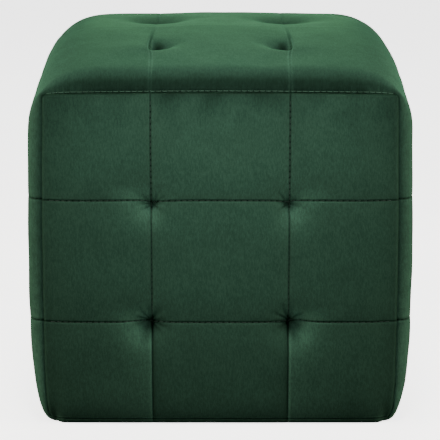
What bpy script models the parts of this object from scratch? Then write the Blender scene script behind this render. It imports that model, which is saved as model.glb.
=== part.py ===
"""A tufted velvet cube pouf, sewn from four pieces.

One quilted band runs up the left side, over the top and down the right side, and is
stuffed firm. A quilted panel is sewn into its front edge and another into its back
edge, and a plain cloth panel closes the base. The stitch lines divide every face into
three columns and three rows, and the cloth is pulled in where they cross.

Units are metres, +Z is up and the front faces -Y.
"""

import math

import bmesh
import bpy

# Seams of the front and back panels.
SEAM_DEPTH = 0.143            # from the middle of the pouf to each seam's plane
SEAM_HEIGHT = 0.2628          # top seam above the surface
SEAM_ARCH = 0.0014            # how much the top seam rises towards its middle
SEAM_CORNER = 0.005           # radius of the seam's top corners
SEAM_WIDTHS = (               # height, half width between the upright seams
    (0.000, 0.1310),
    (0.015, 0.1346),
    (0.045, 0.1363),
    (0.150, 0.1365),
    (0.200, 0.1357),
    (SEAM_HEIGHT - SEAM_CORNER, 0.1342),
)

# The band where it stands out furthest, a little way in from the seams.
BAND_RISE = 0.0133            # top of the band above the top seam
BAND_CORNER = 0.0494          # reach of the round edges between the top and the sides
BAND_SQUARENESS = 2.30        # 2 is a circular edge, more is squarer
BAND_WIDTHS = (               # height, half width over the sides
    (0.000, 0.1385),
    (0.020, 0.1431),
    (0.045, 0.1466),
    (0.075, 0.1483),
    (0.170, 0.1479),
    (SEAM_HEIGHT + BAND_RISE - BAND_CORNER, 0.1467),
)
ROLL_REACH = 1.21             # depth of the roll at a seam, for each unit it stands out
TOP_CROWN = 0.0127            # dome of the top from front to back
TOP_CROSS_CROWN = 0.0031      # dome of the top from side to side
SIDE_CROWN = 0.0014           # dome of the sides
FULL_HEIGHT = 0.060           # height at which the sides reach their full shape

# Front and back panels.
PANEL_THICK = 0.016           # padding behind the seam's plane
PANEL_CROWN = 0.0050          # padding in front of the seam's plane
PANEL_ROLL = 0.009            # width of the roll beside the seams
PANEL_BASE_ROLL = 0.026       # height over which a panel draws in to the base

# Quilting.
STITCH_COLUMN = 0.0527        # each stitch line from the middle of its face
STITCH_ROWS = (0.0846, 0.1807)  # heights of the stitch lines round the sides
PANEL_CHANNEL_DEPTH = 0.0030  # how far a stitch line is drawn in
TOP_CHANNEL_DEPTH = 0.0026
SIDE_CHANNEL_DEPTH = 0.0014
CHANNEL_REACH = 0.0080        # how quickly the padding recovers beside it
CHANNEL_FADE = 0.045          # distance from a seam at which the band's channels are full
TUFT_DEPTH = 0.0085           # extra pull where two stitch lines cross
TUFT_REACH = 0.0120

# Base.
CORNER_TUCK = 0.007           # how far the base corners draw in from the seam's plane
TUCK_HEIGHT = 0.040
TUCK_WIDTH = 0.008
BASE_ROUND = 0.0015           # radius where the cloth turns under
BASE_PANEL_HALF = 0.110
BASE_PANEL_THICK = 0.004
BASE_PANEL_CORNER = 0.008

GAP = 0.0003                  # clearance between touching pieces
JOINT_GAP = GAP / math.sqrt(2)  # each side's share of it, across a slanting joint

# Mesh lines: distances in from an edge and out from a stitch line.
EDGE_STEPS = (0.0, 0.0010, 0.0025, 0.0050, 0.0095, 0.0170, 0.0270)
STITCH_STEPS = (0.0, 0.0035, 0.0080, 0.0150, 0.0250, 0.0380)
CORNER_SEGMENTS = 10
BASE_CORNER_SEGMENTS = 4

VELVET_GREEN = (0.030, 0.085, 0.048, 1.0)
BASE_CLOTH_BLACK = (0.012, 0.012, 0.013, 1.0)


def smooth_value(table, position):
    """Read a table of (position, value) pairs along a smooth curve through them."""
    last = len(table) - 1
    index = 0
    while index < last - 1 and position > table[index + 1][0]:
        index += 1

    def slope(at):
        low = table[max(at - 1, 0)]
        high = table[min(at + 1, last)]
        return (high[1] - low[1]) / (high[0] - low[0])

    (x0, y0), (x1, y1) = table[index], table[index + 1]
    span = x1 - x0
    t = min(max((position - x0) / span, 0.0), 1.0)
    start, end = slope(index) * span, slope(index + 1) * span
    return (y0 * (2 * t**3 - 3 * t**2 + 1) + start * (t**3 - 2 * t**2 + t)
            + y1 * (3 * t**2 - 2 * t**3) + end * (t**3 - t**2))


def roll(distance, reach):
    """Quarter-round rise from 0 at an edge to 1 at the given reach."""
    t = min(max(distance / reach, 0.0), 1.0)
    return math.sqrt(1.0 - (1.0 - t)**2)


def turned_under(height):
    """How far the cloth draws in as it turns under the base."""
    return BASE_ROUND * (1.0 - roll(height, BASE_ROUND))


def corner_tuck(across, height):
    """How far the seam's plane draws in near the corners of the base."""
    low = max(1.0 - height / TUCK_HEIGHT, 0.0)
    outward = (abs(across) - SEAM_WIDTHS[0][1]) / TUCK_WIDTH + 1.0
    return CORNER_TUCK * low**2 * min(max(outward, 0.0), 1.0)**1.5


def around(stitch):
    """Mesh lines on both sides of a stitch line."""
    return {stitch + step for step in STITCH_STEPS} | {stitch - step for step in STITCH_STEPS}


def pulled_in(to_column, to_row, channel):
    """How far the stitch lines and tufts draw the cloth in at one place."""
    fullness = ((1.0 - math.exp(-to_column / CHANNEL_REACH))
                * (1.0 - math.exp(-to_row / CHANNEL_REACH)))
    tuft = math.exp(-math.hypot(to_column, to_row) / TUFT_REACH)
    return channel * (1.0 - fullness) + TUFT_DEPTH * tuft


def nearest(position, lines):
    return min(abs(position - line) for line in lines)


def inset(x, z, amount):
    """Draw a panel's outline in by an amount, keeping its foot on the surface."""
    return x * (1.0 - amount / SEAM_WIDTHS[-1][1]), z * (1.0 - amount / SEAM_HEIGHT)


def spread(value, band_limit, seam_limit):
    """Where a station near the band's round edge lies along the longer seam."""
    start = band_limit - BAND_CORNER / 2
    t = max((value - start) / (band_limit - start), 0.0)
    return value + (seam_limit - band_limit) * t**2


def half_stations():
    """Stations along the band, from the base up to the middle of the top.

    Each is (seam point, band point, distance to the nearest row of stitches), with
    points as (x, z) on the right-hand side.
    """
    side_top, side_width = BAND_WIDTHS[-1]
    seam_top, seam_width = SEAM_WIDTHS[-1]
    flat_half = side_width - BAND_CORNER
    seam_half = seam_width - SEAM_CORNER
    stations = []

    heights = set(EDGE_STEPS) | {side_top}
    for row in STITCH_ROWS:
        heights |= around(row)
    for height in sorted(heights):
        seam_z = spread(height, side_top, seam_top)
        under = turned_under(height)
        seam = (smooth_value(SEAM_WIDTHS, seam_z) - under, seam_z)
        band = (smooth_value(BAND_WIDTHS, height) - under, height)
        stations.append((seam, band, nearest(height, STITCH_ROWS)))

    power = 2.0 / BAND_SQUARENESS
    for step in range(1, CORNER_SEGMENTS + 1):
        angle = math.radians(90.0) * step / CORNER_SEGMENTS
        across, up = max(math.cos(angle), 0.0), math.sin(angle)
        seam = (seam_half + SEAM_CORNER * across, seam_top + SEAM_CORNER * up)
        band = (flat_half + BAND_CORNER * across**power, side_top + BAND_CORNER * up**power)
        stations.append((seam, band, BAND_CORNER))

    for x in sorted(around(STITCH_COLUMN) | {0.0}, reverse=True):
        seam_x = spread(x, flat_half, seam_half)
        arch = SEAM_ARCH * (1.0 - (seam_x / seam_half)**2)
        seam = (seam_x, SEAM_HEIGHT + arch)
        stations.append((seam, (x, SEAM_HEIGHT + BAND_RISE), abs(x - STITCH_COLUMN)))
    return stations


def band_depths():
    """Depths of the band's mesh lines, from the front seam to the back seam."""
    depths = {SEAM_DEPTH - step for step in EDGE_STEPS} | around(STITCH_COLUMN) | {0.0}
    return sorted(depths | {-depth for depth in depths})


def band_point(station, normal, y):
    """A point of the band's outer cloth, at one station and one depth."""
    (seam_x, seam_z), (band_x, band_z), to_row = station
    stand_out = math.hypot(band_x - seam_x, band_z - seam_z)
    rise = roll(SEAM_DEPTH - abs(y), ROLL_REACH * stand_out)
    top_share = max(normal[1], 0.0)**2
    dome = 1.0 - (y / SEAM_DEPTH)**2
    side_crown = SIDE_CROWN * dome
    top_crown = TOP_CROWN * dome + TOP_CROSS_CROWN * (1.0 - (band_x / BAND_WIDTHS[-1][1])**2)
    channel = SIDE_CHANNEL_DEPTH + (TOP_CHANNEL_DEPTH - SIDE_CHANNEL_DEPTH) * top_share
    channel *= min((SEAM_DEPTH - abs(y)) / CHANNEL_FADE, 1.0)
    to_column = nearest(y, (-STITCH_COLUMN, STITCH_COLUMN))
    out = side_crown * (1.0 - top_share) + top_crown * top_share
    out = (out - pulled_in(to_column, to_row, channel)) * min(band_z / FULL_HEIGHT, 1.0)
    x = seam_x + (band_x - seam_x + normal[0] * out) * rise
    z = seam_z + (band_z - seam_z + normal[1] * out) * rise
    drawn_in = corner_tuck(seam_x, seam_z) + turned_under(seam_z)
    return x, y * (1.0 - drawn_in * abs(y / SEAM_DEPTH)**3 / SEAM_DEPTH), z


def outward_normals(stations):
    """Unit normals of the band's outline, in the plane of x and z."""
    normals = []
    last = len(stations) - 1
    for index in range(last + 1):
        low = stations[max(index - 1, 0)][1]
        high = stations[min(index + 1, last)][1]
        dx, dz = high[0] - low[0], high[1] - low[1]
        length = math.hypot(dx, dz)
        normals.append((dz / length, -dx / length))
    normals[-1] = (0.0, 1.0)
    return normals


def build_band(bm):
    """The stuffed band, with a recess for each panel and for the base cloth."""
    half = half_stations()
    normals = outward_normals(half)
    depths = band_depths()
    right = [[band_point(*pair, y) for y in depths] for pair in zip(half, normals)]
    left = [[(-x, y, z) for x, y, z in row] for row in right[:-1]]
    rows = [[bm.verts.new(point) for point in row] for row in right + left[::-1]]
    for low, high in zip(rows, rows[1:]):
        for index in range(len(depths) - 1):
            bm.faces.new((low[index], low[index + 1], high[index + 1], high[index]))

    # The recess behind each panel slopes in from the seam to a flat floor.
    floors = []
    for side, column in ((-1, 0), (1, -1)):
        seam = [row[column] for row in rows]
        floor = []
        for vert in seam:
            x, z = inset(vert.co.x, vert.co.z, PANEL_THICK)
            floor.append(bm.verts.new((x, side * (SEAM_DEPTH - PANEL_THICK), z)))
        for index in range(len(seam) - 1):
            bm.faces.new((seam[index], seam[index + 1], floor[index + 1], floor[index]))
        bm.faces.new(floor)
        floors.append(floor)

    # The underside, around the recess for the base cloth.
    front, back = floors
    rim = rows[0] + [back[0], back[-1]] + rows[-1][::-1] + [front[-1], front[0]]
    recess = rounded_square(bm, BASE_PANEL_HALF + GAP, 0.0)
    edges = [bm.edges.get(pair) or bm.edges.new(pair) for pair in zip(rim, rim[1:] + rim[:1])]
    edges += [bm.edges.new(pair) for pair in zip(recess, recess[1:] + recess[:1])]
    bmesh.ops.triangle_fill(bm, use_beauty=True, use_dissolve=False, edges=edges)
    ceiling = rounded_square(bm, BASE_PANEL_HALF + GAP, BASE_PANEL_THICK + GAP)
    close_walls(bm, recess, ceiling)
    bm.faces.new(ceiling)


def rounded_square(bm, half, z):
    """A ring of vertices round a flat square with round corners."""
    ring = []
    middle = half - BASE_PANEL_CORNER
    for quarter in range(4):
        turn = math.radians(90.0) * quarter
        for step in range(BASE_CORNER_SEGMENTS + 1):
            angle = turn + math.radians(90.0) * step / BASE_CORNER_SEGMENTS
            centre = turn + math.radians(45.0)
            x = middle * math.sqrt(2.0) * math.cos(centre) + BASE_PANEL_CORNER * math.cos(angle)
            y = middle * math.sqrt(2.0) * math.sin(centre) + BASE_PANEL_CORNER * math.sin(angle)
            ring.append(bm.verts.new((x, y, z)))
    return ring


def close_walls(bm, ring, other):
    """Join two rings of the same length with a wall."""
    count = len(ring)
    for index in range(count):
        following = (index + 1) % count
        bm.faces.new((ring[index], ring[following], other[following], other[index]))


def panel_lines(low, high, stitches):
    """Mesh lines across a panel, close together at its rolled edges and stitches."""
    lines = {low + step for step in EDGE_STEPS} | {high - step for step in EDGE_STEPS}
    for stitch in stitches:
        lines |= around(stitch)
    return sorted(lines)


def panel_outline_point(across, height):
    """Place one mesh crossing within the panel's outline, as (x, z)."""
    limit = SEAM_WIDTHS[-1][1]
    to_side, to_top = limit - abs(across), SEAM_HEIGHT - height
    side_share, top_share = (across / limit)**4, (height / SEAM_HEIGHT)**4
    x, z = abs(across), height
    if to_side < SEAM_CORNER and to_top < SEAM_CORNER:
        p, q = SEAM_CORNER - to_side, SEAM_CORNER - to_top
        shrink = max(p, q) / math.hypot(p, q)
        x, z = limit - SEAM_CORNER + p * shrink, SEAM_HEIGHT - SEAM_CORNER + q * shrink
    width = smooth_value(SEAM_WIDTHS, min(z, SEAM_WIDTHS[-1][0])) - turned_under(height)
    x *= 1.0 + (width / limit - 1.0) * side_share
    z += SEAM_ARCH * top_share * max(1.0 - (x / (limit - SEAM_CORNER))**2, 0.0)
    return math.copysign(x, across), z


def build_panel(bm, side):
    """A quilted front or back panel; side is -1 for the front and 1 for the back."""
    limit = SEAM_WIDTHS[-1][1]
    columns = (-STITCH_COLUMN, STITCH_COLUMN)
    across_lines = panel_lines(-limit, limit, columns)
    height_lines = panel_lines(0.0, SEAM_HEIGHT, STITCH_ROWS)
    grid = []
    for across in across_lines:
        strip = []
        for height in height_lines:
            x, z = panel_outline_point(across, height)
            fullness = (roll(limit - abs(across), PANEL_ROLL)
                        * roll(SEAM_HEIGHT - height, PANEL_ROLL)
                        * roll(height, PANEL_BASE_ROLL))
            pull = pulled_in(nearest(across, columns), nearest(height, STITCH_ROWS),
                             PANEL_CHANNEL_DEPTH)
            out = JOINT_GAP + (PANEL_CROWN - pull) * fullness
            out -= turned_under(height) + corner_tuck(x, z)
            x, z = inset(x, z, JOINT_GAP)
            strip.append(bm.verts.new((x, side * (SEAM_DEPTH + out), z)))
        grid.append(strip)
    for low, high in zip(grid, grid[1:]):
        for index in range(len(height_lines) - 1):
            bm.faces.new((low[index], low[index + 1], high[index + 1], high[index]))

    ring = ([strip[0] for strip in grid[:-1]] + grid[-1][:-1]
            + [strip[-1] for strip in grid[:0:-1]] + grid[0][:0:-1])
    back = []
    for vert in ring:
        x, z = inset(vert.co.x, vert.co.z, PANEL_THICK)
        back.append(bm.verts.new((x, side * (SEAM_DEPTH - PANEL_THICK + GAP), z)))
    close_walls(bm, ring, back)
    bm.faces.new(back)


def build_base(bm):
    """The cloth panel that closes the base."""
    lower = rounded_square(bm, BASE_PANEL_HALF, 0.0)
    upper = rounded_square(bm, BASE_PANEL_HALF, BASE_PANEL_THICK)
    close_walls(bm, lower, upper)
    bm.faces.new(lower)
    bm.faces.new(upper)


def add_object(name, bm, colour, roughness):
    """Store a closed shape as a named object with its own plain cloth material."""
    bmesh.ops.recalc_face_normals(bm, faces=bm.faces)
    mesh = bpy.data.meshes.new(name)
    bm.to_mesh(mesh)
    bm.free()
    material = bpy.data.materials.new(name + "_cloth")
    material.use_nodes = True
    shader = material.node_tree.nodes["Principled BSDF"]
    shader.inputs["Base Color"].default_value = colour
    shader.inputs["Roughness"].default_value = roughness
    shader.inputs["Metallic"].default_value = 0.0
    mesh.materials.append(material)
    bpy.context.scene.collection.objects.link(bpy.data.objects.new(name, mesh))


for leftover in list(bpy.data.objects):
    bpy.data.objects.remove(leftover, do_unlink=True)

band = bmesh.new()
build_band(band)
add_object("side_and_top_band", band, VELVET_GREEN, 0.85)

for panel_name, facing in (("front_panel", -1), ("back_panel", 1)):
    panel = bmesh.new()
    build_panel(panel, facing)
    add_object(panel_name, panel, VELVET_GREEN, 0.85)

base = bmesh.new()
build_base(base)
add_object("base_cloth", base, BASE_CLOTH_BLACK, 0.95)
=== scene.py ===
"""A tufted cube pouf in green velvet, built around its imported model.

The pieces follow each other as the pouf is put together: the quilted band, the front and
back panels, the thread that quilts them, the topstitching along the seams and the base
cloth. The floor, the lights and the camera come last. Units are metres, +Z is up and the
front faces -Y.
"""

import math

import bmesh
import bpy
import numpy as np
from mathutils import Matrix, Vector, noise


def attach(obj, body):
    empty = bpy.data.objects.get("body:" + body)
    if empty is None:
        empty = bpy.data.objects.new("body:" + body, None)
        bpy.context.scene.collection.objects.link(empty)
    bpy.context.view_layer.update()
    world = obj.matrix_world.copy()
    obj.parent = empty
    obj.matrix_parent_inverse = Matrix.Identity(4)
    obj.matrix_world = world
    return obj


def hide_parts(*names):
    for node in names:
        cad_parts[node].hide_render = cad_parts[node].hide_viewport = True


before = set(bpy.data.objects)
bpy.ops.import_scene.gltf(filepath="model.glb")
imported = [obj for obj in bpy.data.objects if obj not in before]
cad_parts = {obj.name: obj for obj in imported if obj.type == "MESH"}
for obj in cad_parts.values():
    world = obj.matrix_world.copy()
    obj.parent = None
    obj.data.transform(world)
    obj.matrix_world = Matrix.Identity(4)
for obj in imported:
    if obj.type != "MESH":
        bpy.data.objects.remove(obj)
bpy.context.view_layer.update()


# ------------------------------------------------------------
# The quilted band. One strip of padded velvet runs up the left side, over the top and
# down the right side, and holds the stuffing. Lines of stitches quilt it, and a thread
# pulls it in where they cross.
# ------------------------------------------------------------
SEAM_PLANE = 0.143            # from the middle of the pouf to each panel's seam
SEAM_TOP = 0.2628             # top seam above the floor
SEAM_ARCH = 0.0014            # rise of the top seam towards its middle
SEAM_CORNER = 0.0035
SEAM_SINK = 0.0014            # how far the sewn seams lie below the cloth beside them
SEAM_WIDTHS = (               # height, half width between the upright seams
    (0.000, 0.1285),
    (0.005, 0.1330),
    (0.015, 0.1358),
    (0.045, 0.1371),
    (0.150, 0.1368),
    (0.200, 0.1357),
    (SEAM_TOP - SEAM_CORNER, 0.1342),
)

BAND_RISE = 0.0133            # top of the band above the top seam
BAND_CORNER = 0.0494          # reach of the round edges between the top and the sides,
BAND_CORNER_WIDE = 0.0560     # down the sides and over the top
BAND_SQUARENESS = 2.60        # 2 is a circular edge, more is squarer
BAND_WIDTHS = (               # height, half width over the sides
    (0.000, 0.1370),
    (0.020, 0.1431),
    (0.045, 0.1466),
    (0.075, 0.1483),
    (0.170, 0.1479),
    (SEAM_TOP + BAND_RISE - BAND_CORNER, 0.1463),
)
LEVEL_HEIGHT = 0.190          # below this, the seam lies level with the cloth beside it
LEVEL_HALF = 0.085            # nearer to the middle than this, the seam lies below the top
ROLL_REACH = 1.42             # depth of the roll at a seam, for each unit it stands out
ROLL_POWER = 2.5              # 2 is a round roll, more leaves the flat cloth more gently
FOOT_REACH = 0.60             # how much deeper the roll is at the base
FOOT_HEIGHT = 0.030
TOP_OVERHANG = math.radians(24.0)   # how far the roll tucks under itself at a seam
SIDE_OVERHANG = math.radians(8.0)
TOP_CROWN = 0.0127            # dome of the top from front to back
TOP_CROSS_CROWN = 0.0031      # dome of the top from side to side
SIDE_CROWN = 0.0014
FULL_HEIGHT = 0.060           # height at which the sides reach their full shape

STITCH = 0.00458              # length of one stitch
STITCH_COLUMN = 0.0527        # stitch lines from the middle of each face
STITCH_ROWS = (0.0846, 0.1815)
FINE_STITCHES = 2             # stitches beside a crossing that get a finer mesh
CREASE_WIDTH = 0.0006
CREASE_DEPTH = 0.0007
HOLE_DEPTH = 0.0009
CREASE_SHADE = 0.70           # painted shade and crushed pile in a crease, as a share of a hole
PILLOW_REACH = 0.0080         # how quickly the padding recovers beside a line
TOP_PILLOW = 0.0008
SIDE_PILLOW = 0.0014
CHANNEL_FADE = 0.045          # distance from a seam at which the channels are full
TOP_LINE_SHARE = 0.35         # creases over the top, as a share of those on the sides
TOP_CROSS_FADE = 0.009        # how soon the creases across the top fade from a tuft,
TOP_VALLEY_FADE = 0.012       # and the valleys along them
TOP_CREASE_FADE = 0.032       # how soon the creases over the top do
PARTED_AWAY = 0.0011          # painted highlight on both sides of a line over the top, this far from it
PARTED_WIDTH = 0.0006         # and looks lighter there
PARTED_SHADE = 0.45

SIDE_TUFT = 0.0085            # depth and reach of the tufts on the sides, of the two at
SIDE_TUFT_REACH = 0.0120      # the front of the top, and of the two at its back
FRONT_TUFT = 0.0115
FRONT_TUFT_REACH = 0.0095
FRONT_TUFT_WALL = 0.0024      # the line holds the cloth up on the outer side of a tuft
REAR_TUFT = 0.0140
REAR_TUFT_REACH = 0.0175
TOP_TUFT_SHIFT = 0.0062       # the top's front tufts pull from this far inside the
LINE_BOW = 0.0024             # crossing, and drag the lines there this far outwards
LINE_DRAG = 0.0240            # and forwards
BOW_WIDE = 0.030
BOW_LONG = 0.035
PIT_SHADE = 0.90              # painted shade inside a front tuft of the top, most of all this far behind the crossing
PIT_BEHIND = 0.0055           # all this far behind the crossing
PIT_WIDTH = 0.0045
PIT_LONG = 0.0085
SIDE_PIT_SHADE = 0.70         # painted shade inside the tufts on the sides, and how much more painted shade round the rear tufts of the top
SIDE_PIT_WIDTH = 0.0032       # darker round the rear tufts of the top
REAR_SHADE = 0.40
REAR_WIDTH = 0.016
FACET_AWAY = 0.007            # painted highlight on the pile below a tuft, strongest this far from it
FACET_REACH = 0.012           # this far from it
SIDE_FACET_HIGHLIGHT = 0.50
TUFT_DROOP = 0.0030           # how far a tuft's thread drags the cloth down
DROOP_REACH = 0.0070
PUCKERS = 9                   # small folds round each tuft
PUCKER_DEPTH = 0.0011
PUCKER_REACH = 0.0055
PUCKER_WANDER = 1.3           # how unevenly they lie round it
PUCKER_EYE = 0.0015           # the folds fade out this close to the thread

CORNER_TUCK = 0.0045          # how far the base corners draw in from the seam's plane
TUCK_HEIGHT = 0.022
TUCK_START = 0.1230           # from the middle of the pouf to where that begins
TUCK_WIDTH = 0.006
BASE_ROUND = 0.0018           # radius where the cloth turns under
HEM_HEIGHT = 0.0046           # the sewn edge above the floor
HEM_WIDTH = 0.0005
HEM_DEPTH = 0.0006
HEM_SHADE = 0.60              # painted shade and crushed pile in the hem's stitches
HEM_LINES = (0.0, 0.0004, 0.0009, 0.0015, 0.0022, 0.0030, 0.0036, 0.0041, 0.0046, 0.0051,
             0.0058, 0.0070)
ON_LINE = 1e-6                # closer to a line of stitches than this is on it
ROLL_LINES = 14               # mesh lines up a roll
BAND_PARTS = 2                # mesh parts in one stitch of the band
OUTLINE_STEPS = 200           # points in each part of an outline
BELOW_CORNER = 0.020          # heights are read from the outlines up to here below the corner

RIPPLE_SIZE = 0.030           # slow unevenness of the padding
RIPPLE_DEPTH = 0.0006
GATHER_REACH = 0.30           # share of a roll that the painted shade of its small gathers climbs
GATHER_MIDDLE = 0.30          # how strong they are away from the ends of a top seam

SIDE_PAINTED_LIGHT = 1.48               # painted light and shade of the pile: on the sides, on the top and low on the roll above the top seams
TOP_PAINTED_LIGHT = 0.68                # on the roll above the top seams
ROLL_PAINTED_LIGHT = 0.32
SEAM_PAINTED_LIGHT = (                  # height, painted light of the sides close to their seams as a share, below 1 painted shade
    (0.000, 1.30),
    (0.050, 1.20),
    (0.110, 0.75),
    (0.170, 0.60),
    (SEAM_TOP, 0.60),
)
CORNER_LIFT = 0.35            # how much lighter the painted light makes the roll at the ends of a top seam, and where that starts, from the middle
CORNER_NEAR = 0.095           # and where that starts, from the middle
CORNER_WIDE = 0.035
DARK_FADE = 0.7               # how soon the painted shade of a roll fades up it, in the middle of a top seam, and how much sooner at its ends
DARK_END_FADE = 1.5           # a top seam, and how much sooner at its ends
DARK_WIDER = 2.0              # the painted shade goes this much further round the band's edge
SEAM_LIFT = 0.45              # a roll is painted lighter again close to its top seam
SEAM_LIFT_REACH = 0.16
UPPER_ROLL_SHADE = 0.29       # and painted a little darker further up
UPPER_ROLL = 0.41
UPPER_ROLL_REACH = 0.16


def smooth_curve(table, at):
    """Read a table of (place, value) pairs along a smooth curve through them."""
    places, values = np.array(table).T
    slopes = np.gradient(values, places)
    slopes[1:-1] = (values[2:] - values[:-2]) / (places[2:] - places[:-2])
    start = np.clip(np.searchsorted(places, at) - 1, 0, len(places) - 2)
    span = places[start + 1] - places[start]
    t = np.clip((at - places[start]) / span, 0.0, 1.0)
    return (values[start] * (2 * t**3 - 3 * t**2 + 1)
            + values[start + 1] * (3 * t**2 - 2 * t**3)
            + slopes[start] * span * (t**3 - 2 * t**2 + t)
            + slopes[start + 1] * span * (t**3 - t**2))


def unit(value):
    """A value, kept between 0 and 1."""
    return np.clip(value, 0.0, 1.0)


def fading(distance, reach):
    """1 on a line or at a point, and fading to 0 away from it."""
    return np.exp(-(distance / reach)**2)


def roll(distance, reach):
    """Quarter-round rise from 0 at an edge to 1 at the given reach."""
    t = unit(distance / reach)
    return np.sqrt(1.0 - (1.0 - t)**2)


def hem_groove(height):
    """How far the stitches of the hem draw the cloth in."""
    return HEM_DEPTH * fading(height - HEM_HEIGHT, HEM_WIDTH)


def turned_under(height):
    """How far the cloth draws in at the hem and where it turns under the base."""
    return BASE_ROUND * (1.0 - roll(height, BASE_ROUND)) + hem_groove(height)


def corner_tuck(across, height):
    """How far the seam's plane draws in near the corners of the base."""
    low = np.maximum(1.0 - height / TUCK_HEIGHT, 0.0)
    outward = unit((np.abs(across) - TUCK_START) / TUCK_WIDTH)
    return CORNER_TUCK * low**2 * outward**1.5


def whole_stitches(start, end, parts, finer_start, finer_end):
    """Mesh lines from one place to the next, as (place, share of a stitch) pairs."""
    count = round(abs(end - start) / STITCH)
    lines = []
    for stitch in range(count):
        finer = ((finer_start and stitch < FINE_STITCHES)
                 or (finer_end and stitch >= count - FINE_STITCHES))
        steps = 2 * parts if finer else parts
        for step in range(steps):
            share = step / steps
            lines.append((start + (end - start) * (stitch + share) / count, share))
    return lines


def hole(share):
    """1 at the hole where a stitch goes through the cloth, and 0 between two holes."""
    return np.maximum(np.cos(2.0 * math.pi * share), 0.0)**3


def crease(line, holes):
    """How deep the cloth lies along a line of stitches, and its painted shade and crushed pile
    there.
    """
    return (line * (CREASE_DEPTH + HOLE_DEPTH * holes),
            line * (CREASE_SHADE + (1.0 - CREASE_SHADE) * holes))


def puckers(across, along, turn):
    """Small folds that run out from the pulled thread at a crossing."""
    away = np.hypot(across, along)
    angle = np.arctan2(along, across)
    fold = np.cos(PUCKERS * angle + turn + PUCKER_WANDER * np.sin(2.0 * angle + turn))
    return PUCKER_DEPTH * fold * np.exp(-away / PUCKER_REACH) * (1.0 - np.exp(-away / PUCKER_EYE))


def ripple(points, size, depth):
    """Slow unevenness at each point of an array of points."""
    flat = points.reshape(-1, 3) / size
    values = np.array([noise.noise(Vector(point)) for point in flat])
    return depth * values.reshape(points.shape[:-1])


def run(line):
    """Distance along a line of points, from its start to each point."""
    return np.concatenate(([0.0], np.cumsum(np.linalg.norm(np.diff(line, axis=0), axis=1))))


def at_runs(line, runs):
    """Points of a line at some distances along it."""
    return np.stack([np.interp(runs, run(line), part) for part in line.T], -1)


def half_outline(widths, corner, wide, squareness, top_height):
    """Right half of an outline seen from the front, from the base to its top middle.

    The corner reaches down the side by one length, and over the top by the wide one.
    """
    side_top, half = widths[-1]
    height = np.linspace(0.0, side_top, 2 * OUTLINE_STEPS)
    side = np.stack((smooth_curve(widths, height) - turned_under(height), height), -1)
    slope = (side[-1, 0] - side[-2, 0]) / (side[-1, 1] - side[-2, 1])
    angle = np.linspace(0.0, math.pi / 2, OUTLINE_STEPS)[1:]
    up = np.sin(angle)**(2.0 / squareness)
    bend_x = half - wide + wide * np.cos(angle)**(2.0 / squareness)
    bend_x = bend_x + slope * corner * up * (1.0 - up)**2
    bend = np.stack((bend_x, side_top + corner * up), -1)
    top_x = np.linspace(half - wide, 0.0, OUTLINE_STEPS)[1:]
    return np.concatenate((side, bend, np.stack((top_x, top_height(top_x)), -1)))


def band_places():
    """Places along the right half of the band, from the base to the middle of the top.

    Returns seam points and band points as (x, z), the distance to the nearest line of
    stitches across the band, and the share of a stitch, one line for each place.
    """
    band = half_outline(BAND_WIDTHS, BAND_CORNER, BAND_CORNER_WIDE, BAND_SQUARENESS,
                        lambda x: np.full_like(x, SEAM_TOP + BAND_RISE))
    seam_flat = SEAM_WIDTHS[-1][1] - SEAM_CORNER
    seam = half_outline(SEAM_WIDTHS, SEAM_CORNER, SEAM_CORNER, 2.0,
                        lambda x: SEAM_TOP + SEAM_ARCH * (1.0 - (x / seam_flat)**2))
    band_run, seam_run = run(band), run(seam)

    def height_run(line, runs, height):
        """Distance along an outline to a height on its side."""
        side = line[:, 1] < SEAM_WIDTHS[-1][0] - BELOW_CORNER
        return np.interp(height, line[side, 1], runs[side])

    low_row, high_row = height_run(band, band_run, np.array(STITCH_ROWS))
    hem = height_run(band, band_run, np.array(HEM_LINES))
    middle = band_run[-1]
    column = middle - STITCH_COLUMN
    places = [(start, 0.5) for start in hem[:-1]]
    places += whole_stitches(hem[-1], low_row, BAND_PARTS, False, True)
    places += whole_stitches(low_row, high_row, BAND_PARTS, True, True)
    places += whole_stitches(high_row, column, BAND_PARTS, True, True)
    over_top = whole_stitches(column, middle + STITCH_COLUMN, BAND_PARTS, True, True)
    places += [pair for pair in over_top if pair[0] < middle - ON_LINE] + [(middle, 0.5)]
    at, shares = np.array(places).T

    level = np.linspace(0.0, LEVEL_HEIGHT, OUTLINE_STEPS // 2)
    over = np.linspace(LEVEL_HALF, 0.0, OUTLINE_STEPS // 4)
    from_band = np.concatenate((height_run(band, band_run, level), middle - over))
    from_seam = np.concatenate((height_run(seam, seam_run, level),
                                np.interp(-over, -seam[-OUTLINE_STEPS:, 0],
                                          seam_run[-OUTLINE_STEPS:])))
    seams = at_runs(seam, np.interp(at, from_band, from_seam))
    to_row = np.min([np.abs(at - line) for line in (low_row, high_row, column)], axis=0)
    return seams, at_runs(band, at), to_row, shares


def band_middle_lines():
    """Mesh lines between the two rolls, as (share of the way, share of a stitch) pairs.

    The share of the way is 1 at the front roll, 0 on the first stitch line, 0 to -1 up to
    the second one and -2 at the back roll.
    """
    near = STITCH_COLUMN
    far = SEAM_PLANE - ROLL_REACH * BAND_RISE
    outer = [((place - near) / (far - near), share)
             for place, share in whole_stitches(far, near, BAND_PARTS, False, True)]
    inner = [((place - near) / (2.0 * near), share)
             for place, share in whole_stitches(near, -near, BAND_PARTS, True, True)]
    mirrored = [(-1.0 - place, share) for place, share in outer[::-1]]
    return np.array(outer + inner + [(-1.0, 0.0)] + mirrored)


def outward(grid):
    """Unit normals of a grid of points whose second direction turns left of its first."""
    along, across = np.gradient(grid, axis=0), np.gradient(grid, axis=1)
    normals = np.cross(across, along)
    return normals / np.maximum(np.linalg.norm(normals, axis=-1, keepdims=True), 1e-12)


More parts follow.
